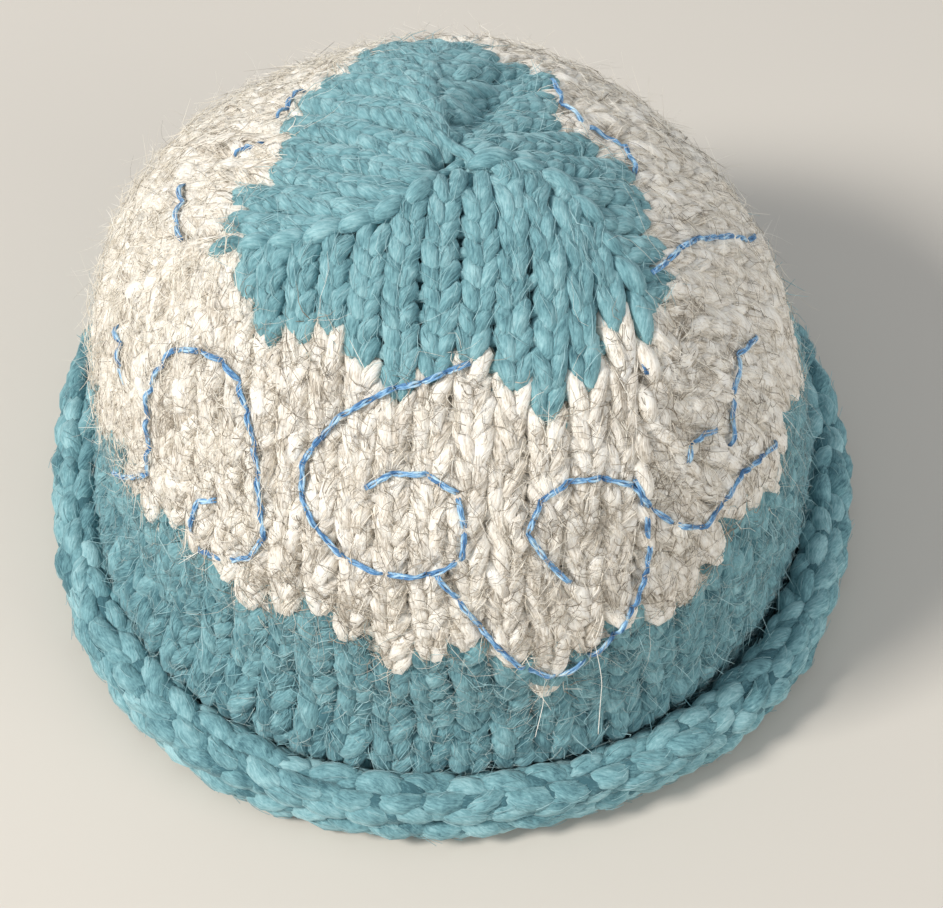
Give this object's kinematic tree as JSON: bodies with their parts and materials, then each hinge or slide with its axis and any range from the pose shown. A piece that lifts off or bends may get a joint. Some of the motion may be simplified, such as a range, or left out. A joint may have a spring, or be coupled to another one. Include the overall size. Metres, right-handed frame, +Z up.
{
  "type": "beanie",
  "caption": "Hand-knitted beanie with a wedged teal crown, a cream zigzag-edged band, a teal lower band and a brim curled outwards into a thick roll.",
  "frame": {"origin": "middle of the bottom of the hat's box, on the surface that the rolled brim rests on", "axes": "+Z up through the crown, -Y towards the front, +X to the right as seen from the front"},
  "size_m": [0.1996, 0.2016, 0.1307],
  "materials": {
    "teal_wool": "matt, soft single-ply wool",
    "cream_yarn": "matt, hairy cream yarn with darker guard hairs",
    "blue_thread": "satin stranded embroidery thread"
  },
  "bodies": {
    "root": {"crown": "teal_wool", "cream_band": "cream_yarn", "lower_band": "teal_wool", "rolled_brim": "teal_wool"}
  },
  "joints": []
}
